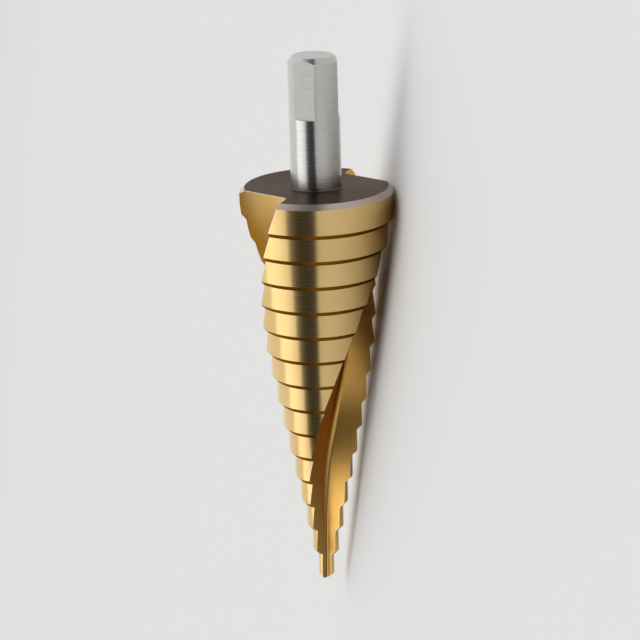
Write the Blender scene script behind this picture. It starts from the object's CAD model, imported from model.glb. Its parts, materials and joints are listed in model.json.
"""Looks of the step drill: ground steel with a gold-coloured coating, on a plain pale floor."""
import json
import math

import bpy
import numpy as np
from mathutils import Matrix, Vector

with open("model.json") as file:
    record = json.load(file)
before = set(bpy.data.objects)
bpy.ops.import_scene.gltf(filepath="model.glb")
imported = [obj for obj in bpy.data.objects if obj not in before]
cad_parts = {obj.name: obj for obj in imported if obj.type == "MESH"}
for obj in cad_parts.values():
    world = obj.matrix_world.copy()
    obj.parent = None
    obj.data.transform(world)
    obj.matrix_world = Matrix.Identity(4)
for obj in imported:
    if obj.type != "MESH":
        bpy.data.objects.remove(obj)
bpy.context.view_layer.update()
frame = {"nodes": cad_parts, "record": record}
drill = frame["nodes"]["step_drill"]
scene = bpy.context.scene

# ---------------------------------------------------------------- the drill's own sizes and axes
MM_PER_M = 1000.0

# Sizes in mm
COLLAR_RADIUS = 16.0
PILOT_RADIUS = 2.0
STEP_LENGTH = 5.4
RIM_CHAMFER = 1.0
ROOT_FILLET = 0.5
FLAT_START = 14.0

# What tells the faces of one region from those of another. OUT and ALONG are the parts of a face's
# normal out from the axis and along it: 1 and 0 on a round wall, 0.7 and 0.7 on a 45 degree face.
LEAST_OUT_ROUND = 0.93
LEAST_OUT_SLOPING = 0.45
LEAST_ALONG_SLOPING = 0.6
LEAST_ALONG_POINT = 0.5
MOST_ALONG_FLAT = 0.1
# And in mm: how far a land lies within the cone, how far a flat's faces are from the axis, heights
# that the 45 degree faces and the point stay below, and room for rounding
MOST_LAND_DEPTH = 1.15
MOST_FLAT_RADIUS = 4.9
SLOPES_BELOW = -5.0
POINT_BELOW = -81.0
ROOM = 0.01

# The cutting edges: their turn about the axis in each mm of height, and their bearing at the collar
TURN_PER_MM = 2 * math.pi / 230.0
EDGE_BEARING = math.radians(-122.7)

# Tool coordinates have z along the axis from point to shank, with 0 at the collar face, and x and y
# across it. As the drill lies, REST_BEARING faces down, and the axis slopes down to the point by
# REST_SLOPE. The record's shank mount is the middle of the round wall, which starts above the root
# fillet. COLLAR is the middle of the collar face, in metres.
REST_BEARING = math.radians(1.7)
REST_SLOPE = math.radians(7.7)
TO_FRAME = Matrix.Rotation(math.pi / 2 - REST_SLOPE, 3, "Y") @ Matrix.Rotation(-REST_BEARING, 3, "Z")
TOOL_X, TOOL_Y, TOOL_Z = TO_FRAME.col
shank = next(mount for mount in frame["record"]["mounts"] if mount["name"] == "shank")
shank_middle = ROOT_FILLET + shank["dims"]["length_mm"] / 2
COLLAR = Vector(shank["pos_m"]) - TOOL_Z * (shank_middle / MM_PER_M)

# ---------------------------------------------------------------- colours
GOLD = (0.757, 0.533, 0.228, 1.0)
GOLD_WARM = (0.725, 0.493, 0.198, 1.0)
GOLD_PALE = (0.87, 0.66, 0.33, 1.0)
GOLD_WORN = (0.94, 0.83, 0.60, 1.0)

STEP_DARK = (0.178, 0.087, 0.014, 1.0)
STEP_LIGHT = (0.29, 0.151, 0.030, 1.0)
STEP_GLANCING = (0.70, 0.45, 0.16, 1.0)

AMBER = (0.78, 0.44, 0.110, 1.0)
AMBER_LIGHT = (0.86, 0.51, 0.140, 1.0)
AMBER_DEEP = (0.70, 0.38, 0.085, 1.0)
BROWN = (0.25, 0.142, 0.042, 1.0)
BROWN_LIGHT = (0.56, 0.365, 0.145, 1.0)
FLUTE_GLANCING = (0.80, 0.58, 0.32, 1.0)

COLLAR_DARK, COLLAR_LIGHT = (0.098, 0.084, 0.074, 1.0), (0.160, 0.139, 0.123, 1.0)
COLLAR_GLANCING = (0.56, 0.51, 0.47, 1.0)
RIM_DARK, RIM_LIGHT = (0.46, 0.378, 0.325, 1.0), (0.65, 0.55, 0.485, 1.0)
SHANK_DARK, SHANK_LIGHT = (0.50, 0.49, 0.48, 1.0), (0.66, 0.65, 0.63, 1.0)
FLAT_DARK, FLAT_LIGHT = (0.42, 0.41, 0.40, 1.0), (0.58, 0.57, 0.55, 1.0)
STEEL_WORN = (0.85, 0.83, 0.80, 1.0)

WHITE = (1.0, 1.0, 1.0, 1.0)
FLOOR_PAINT = (0.86, 0.855, 0.845, 1.0)


# ---------------------------------------------------------------- node helpers
class Nodes:
    """Builds a node tree with short calls. Each value is a number, a colour, a vector or a socket."""

    def __init__(self, tree):
        self.tree = tree

    def put(self, socket, value):
        if isinstance(value, bpy.types.NodeSocket):
            self.tree.links.new(value, socket)
        elif value is not None:
            socket.default_value = value

    def node(self, kind, *inputs, out=0, **props):
        """Adds a node with its first inputs set, and returns the output with that number or name."""
        made = self.tree.nodes.new(kind)
        for key, value in props.items():
            setattr(made, key, value)
        for i, value in enumerate(inputs):
            self.put(made.inputs[i], value)
        return made.outputs[out]

    def math(self, operation, a, b=None):
        return self.node("ShaderNodeMath", a, b, operation=operation)

    def vector_math(self, operation, a, b=None):
        return self.node("ShaderNodeVectorMath", a, b, operation=operation)

    def dot(self, a, b):
        return self.node("ShaderNodeVectorMath", a, tuple(b), out="Value", operation="DOT_PRODUCT")

    def combine(self, x, y, z):
        return self.node("ShaderNodeCombineXYZ", x, y, z)

    def ramp(self, value, low, high, to_low=0.0, to_high=1.0):
        """Smooth step from to_low, up to low, to to_high, from high on."""
        return self.node("ShaderNodeMapRange", value, low, high, to_low, to_high,
                         interpolation_type="SMOOTHSTEP")

    def mix(self, factor, a, b):
        made = self.tree.nodes.new("ShaderNodeMix")
        made.data_type = "RGBA"
        for i, value in ((0, factor), (6, a), (7, b)):
            self.put(made.inputs[i], value)
        return made.outputs[2]

    def noise(self, vector, scale=1.0, detail=2.0, rough=0.5):
        made = self.tree.nodes.new("ShaderNodeTexNoise")
        self.put(made.inputs["Vector"], vector)
        made.inputs["Scale"].default_value = scale
        made.inputs["Detail"].default_value = detail
        made.inputs["Roughness"].default_value = rough
        return made.outputs[0]


class Finish(Nodes):
    """A metal finish of the drill, which knows where the shaded point is in tool coordinates."""

    bump_depth = 0.00002  # metres

    def __init__(self, name):
        self.material = bpy.data.materials.new(name)
        self.material.use_nodes = True
        super().__init__(self.material.node_tree)
        self.shader = self.tree.nodes["Principled BSDF"]
        here = self.node("ShaderNodeTexCoord", out="Object")
        self.from_collar = self.vector_math("SUBTRACT", here, tuple(COLLAR))
        x, y, self.z = (self.math("MULTIPLY", self.dot(self.from_collar, axis), MM_PER_M)
                        for axis in (TOOL_X, TOOL_Y, TOOL_Z))
        self.spot = self.combine(x, y, self.z)
        self.radius = self.math("SQRT", self.math("ADD", self.math("MULTIPLY", x, x),
                                                  self.math("MULTIPLY", y, y)))
        self.bearing = self.math("ARCTAN2", y, x)

    def lines(self, around, out, along, detail, rough, bearing=None):
        """Fine lines: noise that is drawn out where its scale around, out or along the axis is low."""
        bearing = self.bearing if bearing is None else bearing
        polar = self.combine(bearing, self.radius, self.z)
        scaled = self.vector_math("MULTIPLY", polar, (around, out, along))
        return self.noise(scaled, detail=detail, rough=rough)

    def axial(self):
        """Direction of the drill's axis."""
        return self.vector_math("NORMALIZE", tuple(TOOL_Z))

    def outward(self):
        """Direction from the drill's axis to the shaded point."""
        along = self.node("ShaderNodeVectorMath", tuple(TOOL_Z), None, None,
                          self.dot(self.from_collar, TOOL_Z), operation="SCALE")
        return self.vector_math("NORMALIZE", self.vector_math("SUBTRACT", self.from_collar, along))

    def worn(self, colour, bare, most, reach=0.00022):
        """The colour, going over to bare by up to most along outer edges, unevenly as wear does."""
        inside = self.tree.nodes.new("ShaderNodeAmbientOcclusion")
        inside.inside = True
        inside.only_local = True
        inside.samples = 8
        inside.inputs["Distance"].default_value = reach
        edge = self.ramp(inside.outputs["AO"], 0.55, 0.92, 1.0, 0.0)
        patches = self.noise(self.spot, scale=1.3, detail=3.0, rough=0.6)
        wear = self.ramp(patches, 0.36, 0.62, 0.45 * most, most)
        return self.mix(self.math("MULTIPLY", edge, wear), colour, bare)

    def metal(self, colour, roughness, anisotropy, tangent, glancing=WHITE):
        """Sets up the shader. Highlights are drawn out along the tangent, glancing ones tinted."""
        self.shader.inputs["Metallic"].default_value = 1.0
        self.shader.inputs["Specular Tint"].default_value = glancing
        self.shader.inputs["Anisotropic"].default_value = anisotropy
        self.put(self.shader.inputs["Base Color"], colour)
        self.put(self.shader.inputs["Roughness"], roughness)
        self.put(self.shader.inputs["Tangent"], tangent)

    def bump(self, height, strength):
        made = self.tree.nodes.new("ShaderNodeBump")
        made.inputs["Strength"].default_value = strength
        made.inputs["Distance"].default_value = self.bump_depth
        self.put(made.inputs["Height"], height)
        self.put(self.shader.inputs["Normal"], made.outputs[0])


# ---------------------------------------------------------------- finishes
def gold_land():
    """Coated land: fine lines round the axis from the grinding wheel, paler at its edges."""
    n = Finish("coated_land")
    lines = n.lines(around=0.6, out=1.0, along=26.0, detail=4.0, rough=0.65)
    colour = n.mix(n.ramp(n.noise(n.spot, scale=0.16), 0.35, 0.65), GOLD, GOLD_WARM)
    colour = n.mix(n.ramp(lines, 0.3, 0.75, 0.0, 0.30), colour, GOLD_PALE)
    colour = n.worn(colour, GOLD_WORN, 0.8)
    n.metal(colour, roughness=n.ramp(lines, 0.25, 0.75, 0.16, 0.28), anisotropy=0.7, tangent=n.axial())
    n.bump(lines, 0.25)
    return n.material


def gold_step():
    """Coated 45 degree faces between the steps, and the point: dark, as chips and heat leave them."""
    n = Finish("coated_step")
    lines = n.lines(around=0.6, out=22.0, along=1.0, detail=3.0, rough=0.6)
    colour = n.mix(n.ramp(lines, 0.3, 0.7), STEP_DARK, STEP_LIGHT)
    colour = n.worn(colour, GOLD_PALE, 0.5, reach=0.00015)
    n.metal(colour, roughness=n.ramp(lines, 0.2, 0.8, 0.26, 0.36), anisotropy=0.5, tangent=n.axial(),
            glancing=STEP_GLANCING)
    return n.material


def gold_flute():
    """Coated flute: soft streaks along the helix, amber under the cutting edge, brown at the heel."""
    n = Finish("coated_flute")
    turn = n.math("MULTIPLY", n.z, TURN_PER_MM)
    from_edge = n.math("SUBTRACT", n.bearing, turn)
    streaks = n.lines(around=60.0, out=9.0, along=0.05, detail=2.0, rough=0.5, bearing=from_edge)
    amber = n.mix(n.ramp(streaks, 0.3, 0.7), AMBER, AMBER_LIGHT)
    amber = n.mix(n.ramp(n.noise(n.spot, scale=0.12), 0.35, 0.7, 0.0, 0.4), amber, AMBER_DEEP)

    # The wall that ends at a heel faces the way the cutting edge points, or straight away from it.
    edge = n.math("ADD", turn, EDGE_BEARING)
    normal = n.node("ShaderNodeNewGeometry", out="Normal")
    facing = n.math("ADD", n.math("MULTIPLY", n.dot(normal, TOOL_X), n.math("COSINE", edge)),
                    n.math("MULTIPLY", n.dot(normal, TOOL_Y), n.math("SINE", edge)))
    heel_wall = n.ramp(n.math("ABSOLUTE", facing), 0.35, 0.85)

    # It is darkest near the heel and down the flute.
    cone_radius = n.math("ADD", n.math("DIVIDE", n.z, STEP_LENGTH), COLLAR_RADIUS)
    depth = n.math("SUBTRACT", cone_radius, n.radius)
    light = n.math("MULTIPLY", n.ramp(depth, 0.2, 4.2), n.ramp(n.z, -12.0, 0.0, 0.12, 1.0))
    brown = n.mix(light, BROWN, BROWN_LIGHT)
    brown = n.mix(n.ramp(streaks, 0.3, 0.7, 0.0, 0.15), brown, amber)

    colour = n.worn(n.mix(heel_wall, amber, brown), GOLD_WORN, 0.8)
    n.metal(colour, roughness=n.ramp(streaks, 0.2, 0.8, 0.31, 0.38), anisotropy=0.3,
            tangent=n.outward(), glancing=FLUTE_GLANCING)
    n.bump(streaks, 0.08)
    return n.material


def bare_steel(name, dark, light, rough, anisotropy, end_face=False, turned=True, glancing=WHITE):
    """Bare ground steel, with lines round the axis where it is turned and straight across where not.

    The highlights of an end face are drawn out from the axis, and all others along it.
    """
    n = Finish(name)
    lines = n.lines(around=0.8, out=20.0 if turned else 0.0, along=20.0, detail=4.0, rough=0.65)
    stains = n.noise(n.spot, scale=0.35, detail=3.0, rough=0.55)
    colour = n.mix(n.ramp(lines, 0.3, 0.7), dark, light)
    colour = n.mix(n.ramp(stains, 0.4, 0.7, 0.0, 0.35), colour, dark)
    colour = n.worn(colour, STEEL_WORN, 0.7)
    n.metal(colour, roughness=n.ramp(lines, 0.2, 0.8, rough, rough + 0.1), anisotropy=anisotropy,
            tangent=n.outward() if end_face else n.axial(), glancing=glancing)
    n.bump(lines, 0.2)
    return n.material


LOOKS = [
    gold_land(),
    gold_step(),
    gold_flute(),
    bare_steel("collar_steel", COLLAR_DARK, COLLAR_LIGHT, 0.28, 0.6, end_face=True,
               glancing=COLLAR_GLANCING),
    bare_steel("rim_steel", RIM_DARK, RIM_LIGHT, 0.26, 0.5),
    bare_steel("shank_steel", SHANK_DARK, SHANK_LIGHT, 0.20, 0.55),
    bare_steel("flat_steel", FLAT_DARK, FLAT_LIGHT, 0.28, 0.3, turned=False),
]
LAND, STEP, FLUTE, COLLAR_FACE, RIM, SHANK, FLAT = range(len(LOOKS))


def dress(obj):
    """Gives each face of the drill the look of its region, by where it is and which way it faces."""
    mesh = obj.data
    mesh.materials.clear()
    for look in LOOKS:
        mesh.materials.append(look)
    count = len(mesh.polygons)
    centre, normal = np.empty(count * 3), np.empty(count * 3)
    mesh.polygons.foreach_get("center", centre)
    mesh.polygons.foreach_get("normal", normal)
    to_frame = np.array(TO_FRAME)
    x, y, z = ((centre.reshape(-1, 3) - np.array(COLLAR)) @ to_frame * MM_PER_M).T
    normal_x, normal_y, normal_z = (normal.reshape(-1, 3) @ to_frame).T
    radius = np.hypot(x, y)
    outward = (x * normal_x + y * normal_y) / np.maximum(radius, 1e-6)
    cone = np.maximum(PILOT_RADIUS, COLLAR_RADIUS + z / STEP_LENGTH)

    body = z < 0
    sloping = outward > LEAST_OUT_SLOPING
    look = np.full(count, FLUTE)
    look[body & (outward > LEAST_OUT_ROUND) & (radius > cone - MOST_LAND_DEPTH)] = LAND
    look[sloping & (normal_z < -LEAST_ALONG_SLOPING) & (z < SLOPES_BELOW)] = STEP
    look[(normal_z < -LEAST_ALONG_POINT) & (z < POINT_BELOW)] = STEP
    look[body & sloping & (normal_z > LEAST_ALONG_SLOPING) & (z > -RIM_CHAMFER - ROOM)] = RIM
    look[z > -ROOM] = COLLAR_FACE
    look[z > ROOT_FILLET] = SHANK
    look[(z > FLAT_START) & (radius < MOST_FLAT_RADIUS) & (abs(normal_z) < MOST_ALONG_FLAT)] = FLAT
    mesh.polygons.foreach_set("material_index", look.astype(np.int32))
    mesh.update()


dress(drill)

# ---------------------------------------------------------------- floor
FLOOR_REACH = 15.0  # metres
floor_mesh = bpy.data.meshes.new("floor")
corners = [(x * FLOOR_REACH, y * FLOOR_REACH, 0) for x, y in ((-1, -1), (1, -1), (1, 1), (-1, 1))]
floor_mesh.from_pydata(corners, [], [(0, 1, 2, 3)])
floor = bpy.data.objects.new("floor", floor_mesh)
scene.collection.objects.link(floor)
paint = bpy.data.materials.new("pale_floor")
paint.use_nodes = True
paint_inputs = paint.node_tree.nodes["Principled BSDF"].inputs
paint_inputs["Base Color"].default_value = FLOOR_PAINT
paint_inputs["Roughness"].default_value = 0.6
paint_inputs["Specular IOR Level"].default_value = 0.2
floor_mesh.materials.append(paint)

# ---------------------------------------------------------------- light
world = bpy.data.worlds.new("studio")
world.use_nodes = True
scene.world = world
studio = Nodes(world.node_tree)
direction = studio.node("ShaderNodeTexCoord", out="Generated")

# The studio is bright overhead and on the +Y side, and dark on the -Y side, where the camera is.
LIT_SIDE = (0.0, 0.60, 0.80)
DARK_STRENGTH, BRIGHT_STRENGTH = 0.05, 0.95
fade = studio.ramp(studio.dot(direction, LIT_SIDE), -0.12, 0.75, DARK_STRENGTH, BRIGHT_STRENGTH)

# A pale strip over the horizon, as a low camera sees it behind the floor and metal reflects it. It is
# only for what is seen directly, in a reflection or through glass, so it adds no light to the drill.
# Its limits are heights of a direction, with 0 level and 1 straight up.
STRIP_STRENGTH, STRIP_FULL_TO, STRIP_GONE_FROM = 0.72, 0.040, 0.075
height = studio.node("ShaderNodeSeparateXYZ", direction, out="Z")
rays = studio.tree.nodes.new("ShaderNodeLightPath").outputs
seen = studio.math("MAXIMUM", rays["Is Camera Ray"], rays["Is Glossy Ray"])
seen = studio.math("MAXIMUM", seen, rays["Is Transmission Ray"])
strip = studio.ramp(height, STRIP_FULL_TO, STRIP_GONE_FROM, STRIP_STRENGTH, 0.0)
strip = studio.math("MULTIPLY", strip, seen)

background = studio.tree.nodes["Background"]
background.inputs["Color"].default_value = WHITE
studio.put(background.inputs["Strength"], studio.math("MAXIMUM", fade, strip))

# One large soft lamp overhead. It faces straight down, as lamps do when they aren't turned.
lamp = bpy.data.lights.new("overhead", "AREA")
lamp.shape = "RECTANGLE"
lamp.size, lamp.size_y = 14.0, 9.30
lamp.energy = 276.1
holder = bpy.data.objects.new("overhead", lamp)
holder.location = (-1.5, -3.55, 9.0)
scene.collection.objects.link(holder)

# ---------------------------------------------------------------- camera
# The photograph's direction from the collar, turned a little about the axis so that it looks down.
# It aims at a point on the axis, below the collar.
BEARING, RISE, ROLL = math.radians(-95.0), math.radians(17.04), math.radians(-1.58)
DISTANCE = 0.523
AIM_BELOW_COLLAR = 0.0275
aim = COLLAR - TOOL_Z * AIM_BELOW_COLLAR
away = Vector((math.cos(BEARING) * math.cos(RISE), math.sin(BEARING) * math.cos(RISE), math.sin(RISE)))
back = (TO_FRAME @ away).normalized()
up = (TOOL_Z - back * TOOL_Z.dot(back)).normalized()
up = Matrix.Rotation(ROLL, 3, back) @ up
turned = Matrix((up.cross(back), up, back)).transposed().to_4x4()
lens = bpy.data.cameras.new("camera")
lens.sensor_width = 36.0
lens.lens = 148.0
lens.clip_start, lens.clip_end = 0.01, 40.0
camera = bpy.data.objects.new("camera", lens)
camera.matrix_world = Matrix.Translation(aim + back * DISTANCE) @ turned
scene.collection.objects.link(camera)
scene.camera = camera

scene.view_settings.view_transform = "Standard"
